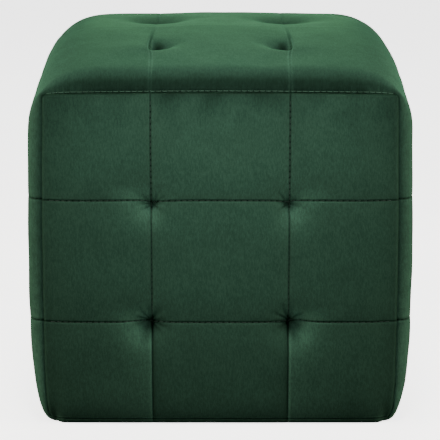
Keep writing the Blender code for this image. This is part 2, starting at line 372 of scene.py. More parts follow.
def band_cloth():
    """Points of the band's outer cloth, what its stitches need to know, and its painted light and
    shade.
    """
    seams, bands, to_row, row_shares = band_places()
    slope = np.gradient(bands, axis=0)
    normals = np.stack((slope[:, 1], -slope[:, 0]), -1)
    normals /= np.linalg.norm(normals, axis=-1, keepdims=True)
    normals[-1] = (0.0, 1.0)
    top_share = np.maximum(normals[:, 1], 0.0)**2

    # Both rolls lean over a little where they meet the seam.
    stand_out = np.hypot(*(bands - seams).T)
    low = unit(1.0 - seams[:, 1] / FOOT_HEIGHT)
    reach = np.maximum(ROLL_REACH * stand_out * (1.0 + FOOT_REACH * low), 2.0 * SEAM_SINK)
    lean = SIDE_OVERHANG + (TOP_OVERHANG - SIDE_OVERHANG) * top_share
    lean *= 1.0 - unit(np.abs(seams[:, 0]) / SEAM_WIDTHS[-1][1])**6 * top_share
    tilt = np.linspace(0.0, 1.0, ROLL_LINES + 1)[None, :-1]
    angle = -lean[:, None] + (math.pi / 2 + lean[:, None]) * tilt
    below = np.sin(lean)[:, None]
    roll_rise = (below + np.sin(angle)) / (below + 1.0)
    shrink = (np.cos(angle) / np.cos(lean)[:, None])
    roll_depth = reach[:, None] - (reach - SEAM_SINK)[:, None] * shrink**(2.0 / ROLL_POWER)

    way, column_shares = band_middle_lines().T
    edge = (SEAM_PLANE - reach - STITCH_COLUMN)[:, None]
    forward = STITCH_COLUMN + edge * way
    between = STITCH_COLUMN + 2.0 * STITCH_COLUMN * way
    backward = -STITCH_COLUMN + edge * (way + 1.0)
    middle = np.where(way >= 0.0, forward, np.where(way >= -1.0, between, backward))
    depth = np.concatenate((SEAM_PLANE - roll_depth, middle, roll_depth[:, ::-1] - SEAM_PLANE), 1)
    rise = np.concatenate((roll_rise, np.ones_like(middle), roll_rise[:, ::-1]), 1)
    roll_shares = (np.arange(ROLL_LINES) % 3) / 3.0
    shares = np.concatenate((roll_shares, column_shares, roll_shares[::-1]))

    dome = 1.0 - unit(np.abs(depth) / SEAM_PLANE)**2
    top_crown = TOP_CROWN * dome
    top_crown += TOP_CROSS_CROWN * (1.0 - (bands[:, :1] / BAND_WIDTHS[-1][1])**2)
    share_up = top_share[:, None]
    crown = SIDE_CROWN * dome * (1.0 - share_up) + top_crown * share_up
    to_column = np.minimum(np.abs(depth - STITCH_COLUMN), np.abs(depth + STITCH_COLUMN))
    fade = unit((SEAM_PLANE - np.abs(depth)) / CHANNEL_FADE)
    pillow = (SIDE_PILLOW + (TOP_PILLOW - SIDE_PILLOW) * share_up) * fade
    on_front = depth > 0.0
    shift = TOP_TUFT_SHIFT * share_up * on_front
    inside = np.where(bands[:, :1] < STITCH_COLUMN, to_row[:, None], -to_row[:, None])
    wall = unit((inside / FRONT_TUFT_WALL + 1.0) / 2.0)
    inner = 1.0 - share_up * on_front * (1.0 - wall**2 * (3.0 - 2.0 * wall))
    cross = inner * (1.0 - share_up * (1.0 - np.exp(-to_row[:, None] / TOP_VALLEY_FADE)))
    flat = ((1.0 - cross * np.exp(-to_column / PILLOW_REACH))
            * (1.0 - np.exp(-to_row[:, None] / PILLOW_REACH)))
    away = np.hypot(to_column, inside - shift)
    top_tuft = np.where(on_front, FRONT_TUFT, REAR_TUFT)
    top_reach = np.where(on_front, FRONT_TUFT_REACH, REAR_TUFT_REACH)
    tuft = SIDE_TUFT + (top_tuft - SIDE_TUFT) * share_up
    reach = SIDE_TUFT_REACH + (top_reach - SIDE_TUFT_REACH) * share_up
    pit = tuft * inner * np.exp(-away / reach)
    behind = STITCH_COLUMN - depth
    shaded = (PIT_SHADE * share_up * inner * on_front
              * fading(inside - shift, PIT_WIDTH) * fading(behind - PIT_BEHIND, PIT_LONG))
    shaded = shaded + SIDE_PIT_SHADE * (1.0 - share_up) * fading(away, SIDE_PIT_WIDTH)
    full = unit(bands[:, 1:] / FULL_HEIGHT)
    out = (crown - pillow * (1.0 - flat) - pit) * full

    x = seams[:, :1] + (bands[:, :1] - seams[:, :1] + normals[:, :1] * out) * rise
    bow = fading(inside, BOW_WIDE) * fading(behind, BOW_LONG)
    x = x + LINE_BOW * bow * share_up
    depth = depth + LINE_DRAG * bow * share_up
    z = seams[:, 1:] + (bands[:, 1:] - seams[:, 1:] + normals[:, 1:] * out) * rise
    z = z - TUFT_DROOP * np.exp(-away / DROOP_REACH) * (1.0 - share_up)
    drawn_in = corner_tuck(seams[:, :1], seams[:, 1:]) + turned_under(seams[:, 1:])
    y = -depth * (1.0 - drawn_in * np.abs(depth / SEAM_PLANE)**3 / SEAM_PLANE)
    right = np.stack((x, y, z), -1)
    left = right[-2::-1] * (-1.0, 1.0, 1.0)

    def whole(values):
        """The right half of some values, followed by the left half."""
        return np.concatenate((values, values[-2::-1]))

    # Painted light and shade in the colour: light sides, a dark roll above the top seams,
    # highlights below the side tufts and beside the lines over the top, and shade round the rear
    # tufts.
    climb = np.repeat(np.concatenate((tilt[0], np.ones(len(way)), tilt[0][::-1]))[None],
                      len(seams), axis=0)
    by_seam = smooth_curve(SEAM_PAINTED_LIGHT, np.minimum(seams[:, 1:], SEAM_TOP))
    side_light_and_shade = SIDE_PAINTED_LIGHT * (by_seam + (1.0 - by_seam) * climb)
    ends = unit((bands[:, :1] - CORNER_NEAR) / CORNER_WIDE)
    dark = (1.0 - climb)**(DARK_FADE + DARK_END_FADE * ends) * (1.0 - CORNER_LIFT * ends)
    light_and_shade = side_light_and_shade + (TOP_PAINTED_LIGHT - side_light_and_shade) * share_up
    light_and_shade = light_and_shade + (ROLL_PAINTED_LIGHT - TOP_PAINTED_LIGHT) * dark * np.minimum(DARK_WIDER * share_up, 1.0)
    light_and_shade = light_and_shade * (1.0 + SEAM_LIFT * share_up * fading(climb, SEAM_LIFT_REACH))
    light_and_shade = light_and_shade * (1.0 - UPPER_ROLL_SHADE * share_up * fading(climb - UPPER_ROLL, UPPER_ROLL_REACH))
    nearest = np.where(bands[:, 1] < np.mean(STITCH_ROWS), *STITCH_ROWS)
    below = np.maximum(nearest - bands[:, 1], 0.0)[:, None]
    facet_highlight = (fading(np.maximum(away - FACET_AWAY, 0.0), FACET_REACH)
             * np.minimum(below / (away + PUCKER_EYE), 1.0))
    light_and_shade = light_and_shade * (1.0 + SIDE_FACET_HIGHLIGHT * facet_highlight * (1.0 - share_up))
    line_rim_highlight = fading(to_row[:, None] - PARTED_AWAY, PARTED_WIDTH) * (depth > STITCH_COLUMN)
    light_and_shade = light_and_shade * (1.0 + PARTED_SHADE * share_up * line_rim_highlight)
    light_and_shade = light_and_shade * (1.0 - REAR_SHADE * share_up * ~on_front * fading(away, REAR_WIDTH))
    return {
        "cloth": np.concatenate((right, left)),
        "to_row": whole(to_row), "row_shares": whole(row_shares),
        "to_column": whole(to_column), "column_shares": shares, "away": whole(away),
        "climb": whole(climb), "on_top": whole(share_up), "light_and_shade": whole(light_and_shade),
        "inner": whole(inner), "shaded": whole(shaded),
        "gather_shade": whole(share_up * np.exp(-climb / GATHER_REACH) * (climb < 1.0)
                        * (GATHER_MIDDLE + (1.0 - GATHER_MIDDLE) * ends)),
    }


def band_relief(band):
    """The band's creases, stitch holes and puckers, moved along its normals.

    Returns the moved points, their painted shade and crushed pile, and how much each crease
    shows.
    """
    cloth, climb, on_top = band["cloth"], band["climb"], band["on_top"]
    to_row, to_column = band["to_row"][:, None], band["to_column"]
    by_tuft = fading(band["away"], TOP_CREASE_FADE) * (cloth[..., 1] < 0.0)
    row_shown = 1.0 - on_top * (1.0 - by_tuft)
    column_shown = row_shown * (1.0 - on_top * (1.0 - np.exp(-to_row / TOP_CROSS_FADE)))
    column_shown = column_shown * band["inner"]
    row_line = fading(to_row, CREASE_WIDTH)
    sewn_flat = TOP_LINE_SHARE * (np.abs(cloth[..., 1]) > STITCH_COLUMN)
    row_depth, row_dark = crease(row_line, hole(band["column_shares"])[None, :])
    column_depth, column_dark = crease(fading(to_column, CREASE_WIDTH) * column_shown,
                                       hole(band["row_shares"])[:, None])
    creases = row_depth * (sewn_flat + (1.0 - sewn_flat) * row_shown) + column_depth
    turns = np.sign(cloth[..., 0]) + 2.0 * np.sign(cloth[..., 1]) + cloth[..., 2]
    folds = band["inner"] * puckers(to_column, np.broadcast_to(to_row, to_column.shape), turns)
    uneven = ripple(cloth, RIPPLE_SIZE, RIPPLE_DEPTH) * climb
    foot = unit(cloth[..., 2] / HEM_LINES[-1])
    move = (uneven - creases - folds) * foot
    crush_and_shade = (row_dark * row_shown + column_dark + band["shaded"]
             + HEM_SHADE * hem_groove(cloth[..., 2]) / HEM_DEPTH)
    shown = {"row": row_shown * (1.0 - on_top), "column": column_shown * (1.0 - on_top)}
    return cloth + outward(cloth) * move[..., None], unit(crush_and_shade), shown


VELVET_GREEN = (0.0194, 0.0468, 0.0302)
VELVET_ROUGHNESS = 0.86
SHEEN_ROUGHNESS = 0.42
SHEEN_GREEN = (0.26, 0.80, 0.40, 1.0)
PILE_SIZE = 0.0008            # grain of the pile, and how strongly it shows
PILE_SHARE = 0.7
PILE_TONES = (0.80, 1.20)     # darkest and lightest pile, as shares of the green
PILE_RANGE = (0.30, 0.72)     # where in the grain they lie
PILE_RELIEF = (0.35, 0.0004)  # strength and depth
STROKE_SIZE = 0.0011          # brush strokes in the pile, drawn out in depth and height
STROKE_SCALE = (1.0, 0.30, 0.35)
MOTTLE_SIZE = 0.009           # places that are brushed this way and that
GATHER_SHADE_TONES = (0.42, 1.60)   # darkest and lightest painted shade of the gathers above a top seam
GATHER_RANGE = (0.35, 0.68)
GATHER_SIZE = 0.0028
GATHER_SCALE = (1.0, 0.06, 0.06)
CRUSH_AND_SHADE_TONE = 0.10


def surface(name, roughness, specular):
    """A new material, with its nodes, their links and its shader."""
    material = bpy.data.materials.new(name)
    material.use_nodes = True
    nodes = material.node_tree.nodes
    shader = nodes["Principled BSDF"]
    shader.inputs["Roughness"].default_value = roughness
    shader.inputs["Specular IOR Level"].default_value = specular
    return material, nodes, material.node_tree.links, shader


def relief(nodes, links, height, strength, depth, shader):
    """Fine relief on a surface."""
    bump = nodes.new("ShaderNodeBump")
    bump.inputs["Strength"].default_value = strength
    bump.inputs["Distance"].default_value = depth
    links.new(height, bump.inputs["Height"])
    links.new(bump.outputs["Normal"], shader.inputs["Normal"])


def ramp(nodes, places, colours):
    """A node that turns a value into a colour between two others."""
    node = nodes.new("ShaderNodeValToRGB")
    for element, place, colour in zip(node.color_ramp.elements, places, colours):
        element.position = place
        element.color = (*colour, 1.0)
    return node


def toned(colour, tones):
    """A colour made darker or lighter by each of some shares."""
    return [[tone * part for part in colour] for tone in tones]


def velvet(name, shade, sheen, mottle):
    """Green cotton velvet: a short pile that sheens at its edges, with painted light and shade
    from the mesh.

    Mottle says how much the pile is brushed this way and that, from 0 to 1.
    """
    material, nodes, links, cloth = surface(name, VELVET_ROUGHNESS, specular=0.0)
    cloth.inputs["Sheen Weight"].default_value = sheen
    cloth.inputs["Sheen Roughness"].default_value = SHEEN_ROUGHNESS
    cloth.inputs["Sheen Tint"].default_value = SHEEN_GREEN

    place = nodes.new("ShaderNodeTexCoord").outputs["Object"]

    def drawn_out(scale):
        """Places on the piece, with a scale for each direction."""
        node = nodes.new("ShaderNodeMapping")
        node.inputs["Scale"].default_value = scale
        links.new(place, node.inputs["Vector"])
        return node.outputs["Vector"]

    def grain(source, size, detail):
        """A noise whose spots are about as large as the given size in metres."""
        texture = nodes.new("ShaderNodeTexNoise")
        texture.inputs["Scale"].default_value = 1.0 / size
        texture.inputs["Detail"].default_value = detail
        texture.inputs["Roughness"].default_value = 0.6
        links.new(source, texture.inputs["Vector"])
        return texture.outputs["Fac"]

    def painted(attribute, kind="Fac"):
        """A value that the mesh carries at each of its points."""
        node = nodes.new("ShaderNodeAttribute")
        node.attribute_name = attribute
        return node.outputs[kind]

    def mixed(kind, first, second, share):
        """Two values or colours put together, by a number or by a painted value."""
        node = nodes.new("ShaderNodeMix")
        node.data_type = "RGBA"
        node.blend_type = kind
        for socket, source in (("Factor", share), ("A", first), ("B", second)):
            if isinstance(source, bpy.types.NodeSocket):
                links.new(source, node.inputs[socket])
            else:
                node.inputs[socket].default_value = source
        return node.outputs["Result"]

    strokes = grain(drawn_out(STROKE_SCALE), STROKE_SIZE, detail=2.0)
    pile = grain(place, PILE_SIZE, detail=2.0)
    brushed = mixed("OVERLAY", strokes, grain(place, MOTTLE_SIZE, detail=4.0), mottle)
    colours = ramp(nodes, PILE_RANGE, toned(shade, PILE_TONES))
    links.new(mixed("OVERLAY", brushed, pile, PILE_SHARE), colours.inputs["Fac"])
    # The pile's colour is multiplied by the painted light and shade that the mesh carries.
    shaded_colour = mixed("MULTIPLY", colours.outputs["Color"], painted("light_and_shade", "Color"), 1.0)
    # The small gathers above a top seam are painted light and shade in the colour only.
    folds = ramp(nodes, GATHER_RANGE, toned((1.0, 1.0, 1.0), GATHER_SHADE_TONES))
    links.new(grain(drawn_out(GATHER_SCALE), GATHER_SIZE, detail=1.0), folds.inputs["Fac"])
    shaded_colour = mixed("MULTIPLY", shaded_colour, folds.outputs["Color"], painted("gather_shade"))
    # Painted shade, with some crushed pile, darkens the colour towards this tone.
    crushed_and_shaded = (*(CRUSH_AND_SHADE_TONE * part for part in shade), 1.0)
    links.new(mixed("MIX", shaded_colour, crushed_and_shaded, painted("crush_and_shade")), cloth.inputs["Base Color"])

    relief(nodes, links, mixed("MIX", pile, strokes, 0.5), *PILE_RELIEF, cloth)
    return material


PANEL_THICK = 0.016
OPENING_HALF = 0.1103         # the opening under the band that the base cloth closes
OPENING_CORNER = 0.008
OPENING_DEPTH = 0.0043
OPENING_LINES = 6


def inset(points, amount):
    """Points of a seam drawn in by an amount, with their foot kept on the floor."""
    x, y, z = points.T
    width = SEAM_WIDTHS[-1][1]
    return np.stack((x * (1.0 - amount / width), y, z * (1.0 - amount / SEAM_TOP)), -1)


def cloth_faces(bm, grid):
    """Vertices of a grid of points, joined by faces, with the vertices returned."""
    verts = [[bm.verts.new(point) for point in line] for line in grid]
    for low, high in zip(verts, verts[1:]):
        for index in range(len(low) - 1):
            bm.faces.new((low[index], low[index + 1], high[index + 1], high[index]))
    return verts


def strip(bm, first, second, closed=False):
    """Faces between two lines of vertices of the same length."""
    last = len(first) if closed else len(first) - 1
    for index in range(last):
        following = (index + 1) % len(first)
        bm.faces.new((first[index], first[following], second[following], second[index]))


def close_ring(bm, ring):
    """Close a ring of vertices with faces that meet at its middle."""
    middle = bm.verts.new(sum((vert.co for vert in ring), Vector()) / len(ring))
    for first, second in zip(ring, ring[1:] + ring[:1]):
        bm.faces.new((first, second, middle))


def rounded_square(bm, half, corner, z):
    """A ring of vertices round a flat square with round corners."""
    ring = []
    for quarter in range(4):
        middle = math.radians(90.0 * quarter + 45.0)
        for step in range(OPENING_LINES + 1):
            angle = math.radians(90.0) * (quarter + step / OPENING_LINES)
            x = (half - corner) * math.sqrt(2.0) * math.cos(middle) + corner * math.cos(angle)
            y = (half - corner) * math.sqrt(2.0) * math.sin(middle) + corner * math.sin(angle)
            ring.append(bm.verts.new((x, y, z)))
    return ring


def in_scene(name, data):
    """A new object in the scene."""
    thing = bpy.data.objects.new(name, data)
    bpy.context.scene.collection.objects.link(thing)
    return thing


def smooth_mesh(name, bm, material):
    """Turn a shape into a smooth mesh of one material."""
    for face in bm.faces:
        face.smooth = True
    mesh = bpy.data.meshes.new(name)
    bm.to_mesh(mesh)
    bm.free()
    mesh.materials.append(material)
    return mesh


def finish_piece(name, bm, material, painted=()):
    """Turn a shape into a smooth piece that rides on the pouf.

    Each painted value is a name, the values of the first points, and the value of the rest.
    """
    bmesh.ops.recalc_face_normals(bm, faces=bm.faces)
    mesh = smooth_mesh(name, bm, material)
    for attribute, values, rest in painted:
        shades = np.full(len(mesh.vertices), rest, np.float32)
        shades[:values.size] = values.ravel()
        mesh.attributes.new(attribute, "FLOAT", "POINT").data.foreach_set("value", shades)
    piece = in_scene(name, mesh)
    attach(piece, "root")
    return piece


band_velvet = velvet("band_velvet", VELVET_GREEN, sheen=0.08, mottle=0.6)
panel_velvet = velvet("panel_velvet", VELVET_GREEN, sheen=0.05, mottle=0.3)

band = band_cloth()
band_points, band_crush_and_shade, band_shown = band_relief(band)
bm = bmesh.new()
rows = cloth_faces(bm, band_points)
floors = []
for side, column in ((-1, 0), (1, -1)):
    seam = [row[column] for row in rows]
    points = inset(np.array([vert.co for vert in seam]), PANEL_THICK)
    points[:, 1] = side * (SEAM_PLANE - PANEL_THICK)
    floor = [bm.verts.new(point) for point in points]
    strip(bm, seam, floor)
    close_ring(bm, floor)
    floors.append(floor)
front, back = floors
rim = rows[0] + [back[0], back[-1]] + rows[-1][::-1] + [front[-1], front[0]]
opening = rounded_square(bm, OPENING_HALF, OPENING_CORNER, 0.0)
edges = [bm.edges.get(pair) or bm.edges.new(pair) for pair in zip(rim, rim[1:] + rim[:1])]
edges += [bm.edges.new(pair) for pair in zip(opening, opening[1:] + opening[:1])]
bmesh.ops.triangle_fill(bm, use_beauty=True, use_dissolve=False, edges=edges)
ceiling = rounded_square(bm, OPENING_HALF, OPENING_CORNER, OPENING_DEPTH)
strip(bm, opening, ceiling, closed=True)
close_ring(bm, ceiling)
band_light_and_shade = np.broadcast_to(band["light_and_shade"], band_crush_and_shade.shape)
quilted_band = finish_piece("quilted_band", bm, band_velvet,
                            (("crush_and_shade", band_crush_and_shade, 0.0), ("light_and_shade", band_light_and_shade, SIDE_PAINTED_LIGHT),
                             ("gather_shade", np.broadcast_to(band["gather_shade"], band_crush_and_shade.shape), 0.0)))
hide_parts("side_and_top_band")


# ------------------------------------------------------------
# The front and back panels. Each is a square of velvet, quilted to its padding in three
# columns and three rows, and sewn into the edge of the band.
# ------------------------------------------------------------
PANEL_CROWN = 0.0042          # slow dome of the padding
PANEL_SIDE_PUFF = 0.0008      # quick rise beside the upright seams
PANEL_TOP_PUFF = 0.0002
PANEL_EDGE_REACH = 0.0020
PANEL_ROLL = 0.030
PANEL_TOP_ROLL = 0.065
PANEL_BASE_ROLL = 0.026
PANEL_PILLOW = 0.0009
SEAM_GAP = 0.0005
EDGE_LINES = (0.0, 0.0003, 0.0007, 0.0012, 0.0018, 0.0026, 0.0036)
EDGE_STEP = 0.001             # from the last of these lines to the first whole stitch
PANEL_PARTS = 4               # mesh parts in one stitch of a panel
PANEL_TUFT = (0.0090, 0.0125)        # depth of an upper and of a lower tuft of a panel,
PANEL_DROOP = (0.0036, 0.0025)       # how far the thread drags the cloth down there, and
PULL_INSIDE = (0.0013, -0.0010)      # how far inside and below the crossing it pulls
PULL_BELOW = (0.0015, -0.0008)
PANEL_FOLDS = (0.7, 1.5)             # the folds round them, as shares of those of the band
PANEL_FACET_HIGHLIGHT = (0.62, 0.55)           # how much lighter the stretched pile is beside them, on
LOW_FACET_AWAY = 0.013               # painted highlight beside them, on the outer lower side, and how far from a lower one
PANEL_PIT_SHADE = (0.60, 0.95)       # painted shade inside them
PANEL_PIT_WIDTH = 0.0032
TUFT_SKEW = 0.15              # how much deeper a tuft pulls on its outer lower side
TUFT_TWIST = 0.20             # and along the line from there to its inner upper side
TUFT_STRETCH = 0.35           # and how much further it reaches there
PANEL_TUFT_REACH = 0.0120
TUFT_END = 0.024              # a tuft hardly pulls the cloth further away than this
HALF_ROW = (STITCH_ROWS[1] - STITCH_ROWS[0]) / 2.0
ABOVE_REACH = 0.015           # painted light above a tuft too, and above a lower one most of all on its outer side
ABOVE_SHADE = 0.40            # and above a lower one most of all on its outer side
OUTER_SHADE = 0.80
LIT_AND_SHADED_SPOTS = (                   # spots of painted light and shade near the tufts: at an upper one or not, how far outside and above it, reach across and up, and the change
    (True, 0.0160, 0.0035, 0.0140, 0.0070, 0.42),      # an upper one or not, how far outside
    (False, 0.0170, 0.0045, 0.0150, 0.0065, 0.42),     # and above it, reach across and up,
    (False, 0.0045, -0.0115, 0.0055, 0.0065, -0.42),   # and the change
    (False, -0.0060, -0.0020, 0.0065, 0.0045, -0.32),
)
SLIT_SHADE = 0.60             # painted shade in the slit below a lower tuft
SLIT_WIDTH = 0.0009
SLIT_LONG = 0.0055
WEDGE_SHADE = 0.32            # painted shade on the folds on both sides of it too
WEDGE_WIDTH = 0.0038
HEM_LIGHT = 0.80              # painted highlight on the fold above the hem's stitches, this far above them
HEM_FOLD = 0.0012             # this far above them
EDGE_PAINTED_LIGHT = 0.74               # painted shade close to the side seams, as a share of the lightness
EDGE_PAINTED_LIGHT_REACH = 0.011
EDGE_JOINT_SHADE = 0.80             # dark seam line where a panel is sewn in, partly painted shade
EDGE_JOINT_SHADE_WIDTH = 0.0005
LAP_LIGHT = 0.40              # below the lower tufts, painted light on the outer side of a column's line, and painted shade on its inner side
LAP_DARK = 0.20               # column, and is lighter on the outer side of the line
LAP_WIDTH = 0.0012
LEAN_LIGHT = 0.34             # further away, wider painted light on the outer side and painted shade on the inner one
LEAN_DARK = 0.24              # in on the other
LEAN_OUT = 0.022
LEAN_IN = 0.007
COLUMN_SHOWN = (              # height, how much the holes and thread of a column show
    (0.000, 0.0),
    (0.074, 0.0),
    (0.094, 0.38),
    (0.170, 0.38),
    (0.190, 1.0),
    (SEAM_TOP, 1.0),
)
TOP_SHADE = 0.07              # painted shade towards the top of a panel, and the pile's crushed places there
BRUISE_SHADE = 0.14           # crushed places there
BRUISE_REACH = 0.030
BRUISE_SIZE = 0.015
BRUISE_EDGE = 2.0             # how sharply those places end, and how much they cover
BRUISE_COVER = 0.3
UNDER_SEAM_SHADE = 0.32       # painted shade close below the top seam
UNDER_SEAM_REACH = 0.0022
MIDDLE_SHADE = 0.31           # and further down in the middle square, in the painted shade of shallow gathers
MIDDLE_REACH = 0.0115
GATHER_SHADE = 0.11
GATHER_SPACING = 0.0345
GATHER_START = -0.004


def panel_lines(start, stops, end, first):
    """Mesh lines from edge to edge of a panel, with their shares of a stitch."""
    low = [(start + step, 0.5) for step in first]
    high = [(end - step, 0.5) for step in EDGE_LINES[::-1]]
    lines = low + whole_stitches(low[-1][0] + EDGE_STEP, stops[0], PANEL_PARTS, False, True)
    for near, far in zip(stops, stops[1:]):
        lines += whole_stitches(near, far, PANEL_PARTS, True, True)
    lines += whole_stitches(stops[-1], high[0][0] - EDGE_STEP, PANEL_PARTS, True, False)
    return np.array(lines + high).T


width = SEAM_WIDTHS[-1][1]
across, column_shares = panel_lines(-width, (-STITCH_COLUMN, STITCH_COLUMN), width, EDGE_LINES)
height, row_shares = panel_lines(0.0, STITCH_ROWS, SEAM_TOP, HEM_LINES)


def panel_cloth():
    """Points of the front panel's cloth, its painted shade and crushed pile, and its painted
    light and shade.
    """
    u, v = np.meshgrid(across, height, indexing="ij")

    # The panel's outline, with its round top corners.
    x, z = np.abs(u), v.copy()
    p, q = SEAM_CORNER - (width - x), SEAM_CORNER - (SEAM_TOP - z)
    corner = (p > 0.0) & (q > 0.0)
    shrink = np.maximum(p, q) / np.maximum(np.hypot(p, q), 1e-9)
    x = np.where(corner, width - SEAM_CORNER + p * shrink, x)
    z = np.where(corner, SEAM_TOP - SEAM_CORNER + q * shrink, z)
    side = smooth_curve(SEAM_WIDTHS, np.minimum(z, SEAM_WIDTHS[-1][0])) - turned_under(v)
    x *= 1.0 + (side / width - 1.0) * (u / width)**4
    arch = np.maximum(1.0 - (x / (width - SEAM_CORNER))**2, 0.0)
    z += SEAM_ARCH * (v / SEAM_TOP)**4 * arch
    x = np.copysign(x, u)

    to_side, to_top = width - np.abs(u), SEAM_TOP - v
    edge = (roll(to_side, PANEL_EDGE_REACH) * roll(to_top, PANEL_EDGE_REACH)
            * roll(v, PANEL_BASE_ROLL))
    dome = (np.sin(math.pi / 2 * unit(to_side / PANEL_ROLL))
            * np.sin(math.pi / 2 * unit(to_top / PANEL_TOP_ROLL))
            * roll(v, PANEL_BASE_ROLL))
    puff = PANEL_TOP_PUFF + (PANEL_SIDE_PUFF - PANEL_TOP_PUFF) * unit(
        to_top / PANEL_ROLL)

    upper = v > np.mean(STITCH_ROWS)
    above = v - np.where(upper, STITCH_ROWS[1], STITCH_ROWS[0])
    beside = np.abs(u) - STITCH_COLUMN
    to_row, to_column = np.abs(above), np.abs(beside)
    aside = beside + np.where(upper, *PULL_INSIDE)
    over = above + np.where(upper, *PULL_BELOW)
    away = np.hypot(aside, over)
    flat = (1.0 - np.exp(-to_column / PILLOW_REACH)) * (1.0 - np.exp(-to_row / PILLOW_REACH))
    clear = away + PUCKER_EYE
    outer_low, outer_high = (np.array((aside - over, aside + over)) / (math.sqrt(2.0) * clear))
    skew = 1.0 + TUFT_SKEW * outer_low - TUFT_TWIST * 2.0 * aside * over / clear**2
    reach = PANEL_TUFT_REACH * (1.0 + TUFT_STRETCH * outer_low)
    calm = 1.0 - unit(to_row / HALF_ROW)**4
    pit = np.where(upper, *PANEL_TUFT) * skew * calm
    pit = pit * np.exp(-away / reach - (away / TUFT_END)**2)
    out = puff * edge + (PANEL_CROWN - PANEL_PILLOW * (1.0 - flat) - pit) * dome
    out -= SEAM_SINK * (1.0 - roll(np.minimum(to_side, to_top), PANEL_EDGE_REACH))
    y = -(SEAM_PLANE + out - turned_under(v) - corner_tuck(x, z))
    z -= np.where(upper, *PANEL_DROOP) * np.exp(-away / DROOP_REACH)
    points = np.stack((x, y, z), -1)
    points = inset(points.reshape(-1, 3), SEAM_GAP).reshape(points.shape)

    row_depth, row_dark = crease(fading(to_row, CREASE_WIDTH), hole(column_shares)[:, None])
    column_depth, column_dark = crease(fading(to_column, CREASE_WIDTH),
                                       hole(row_shares) * smooth_curve(COLUMN_SHOWN, height))
    folds = puckers(aside, over, 2.0 * upper + np.sign(u)) * np.where(upper, *PANEL_FOLDS)
    uneven = ripple(points, RIPPLE_SIZE, RIPPLE_DEPTH)
    move = (uneven - (row_depth + column_depth + folds)) * edge

    # Painted shade, with some crushed pile, in the creases, the seams, the hem and the tufts.
    crush_and_shade = (row_dark + column_dark) * edge
    crush_and_shade += EDGE_JOINT_SHADE * fading(np.minimum(to_side, to_top), EDGE_JOINT_SHADE_WIDTH)
    crush_and_shade += HEM_SHADE * hem_groove(v) / HEM_DEPTH
    crush_and_shade += np.where(upper, *PANEL_PIT_SHADE) * fading(away, PANEL_PIT_WIDTH)
    slit = ~upper * fading(above + SLIT_LONG, SLIT_LONG)
    crush_and_shade += slit * (SLIT_SHADE * fading(beside, SLIT_WIDTH)
                     + WEDGE_SHADE * fading(beside, WEDGE_WIDTH))

    # Painted light and shade: near the seams and the hem, round the tufts, and beside a column.
    bruises = unit(BRUISE_EDGE * ripple(points, BRUISE_SIZE, 1.0) + BRUISE_COVER)
    light_and_shade = 1.0 - (TOP_SHADE + BRUISE_SHADE * bruises) * fading(to_top, BRUISE_REACH)
    light_and_shade *= 1.0 - UNDER_SEAM_SHADE * fading(to_top, UNDER_SEAM_REACH)
    wave = np.cos(2.0 * math.pi * (u - GATHER_START) / GATHER_SPACING)
    gather_shading = (MIDDLE_SHADE + GATHER_SHADE * wave) * unit(-beside / MIDDLE_REACH)
    light_and_shade *= 1.0 - gather_shading * fading(to_top, MIDDLE_REACH)
    light_and_shade *= 1.0 - (1.0 - EDGE_PAINTED_LIGHT) * np.exp(-to_side / EDGE_PAINTED_LIGHT_REACH)
    light_and_shade *= 1.0 + HEM_LIGHT * hem_groove(v - HEM_FOLD) / HEM_DEPTH
    beyond = np.where(upper, np.maximum(away - FACET_AWAY, 0.0), away - LOW_FACET_AWAY)
    facet_highlight = unit(outer_low)**np.where(upper, 1.0, 2.0) * fading(beyond, FACET_REACH)
    light_and_shade *= 1.0 + np.where(upper, *PANEL_FACET_HIGHLIGHT) * facet_highlight * calm
    near = fading(away, ABOVE_REACH)
    light_and_shade *= 1.0 + ABOVE_SHADE * near * unit(over / away)
    light_and_shade *= 1.0 + OUTER_SHADE * near * np.maximum(outer_high, 0.0) * ~upper
    for at_upper, out_to, up_to, wide, high, change in LIT_AND_SHADED_SPOTS:
        spot = fading(beside - out_to, wide) * fading(above - up_to, high)
        light_and_shade *= 1.0 + change * spot * (upper == at_upper)
    below = unit(-above / ABOVE_REACH) * ~upper
    light_and_shade *= 1.0 + LAP_LIGHT * below * fading(beside - LAP_WIDTH, LAP_WIDTH)
    light_and_shade *= 1.0 - LAP_DARK * below * fading(beside + LAP_WIDTH, LAP_WIDTH)
    light_and_shade *= 1.0 + below * np.where(beside > 0.0, LEAN_LIGHT * np.exp(-to_column / LEAN_OUT),
                                  -LEAN_DARK * np.exp(-to_column / LEAN_IN))
    return points - outward(points) * move[..., None], unit(crush_and_shade), light_and_shade


def outer_ring(verts):
    """The vertices round the edge of a grid."""
    return ([line[0] for line in verts[:-1]] + verts[-1][:-1]
            + [line[-1] for line in verts[:0:-1]] + verts[0][:0:-1])


def build_panel(name, points, crush_and_shade, light_and_shade, facing, node):
    """A quilted panel with its padding; facing is -1 for the front, 1 for the back."""
    bm = bmesh.new()
    ring = outer_ring(cloth_faces(bm, points * (-facing, -facing, 1.0)))
    behind = inset(np.array([vert.co for vert in ring]), PANEL_THICK)
    behind[:, 1] = facing * (SEAM_PLANE - PANEL_THICK + SEAM_GAP)
    backing = [bm.verts.new(point) for point in behind]
    strip(bm, ring, backing, closed=True)
    close_ring(bm, backing)
    panel = finish_piece(name, bm, panel_velvet,
                         (("crush_and_shade", crush_and_shade, 0.0), ("light_and_shade", light_and_shade, 1.0)))
    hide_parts(node)


panel_points, panel_crush_and_shade, panel_light_and_shade = panel_cloth()
build_panel("quilted_front", panel_points, panel_crush_and_shade, panel_light_and_shade, -1, "front_panel")
build_panel("quilted_back", panel_points, panel_crush_and_shade, panel_light_and_shade, 1, "back_panel")


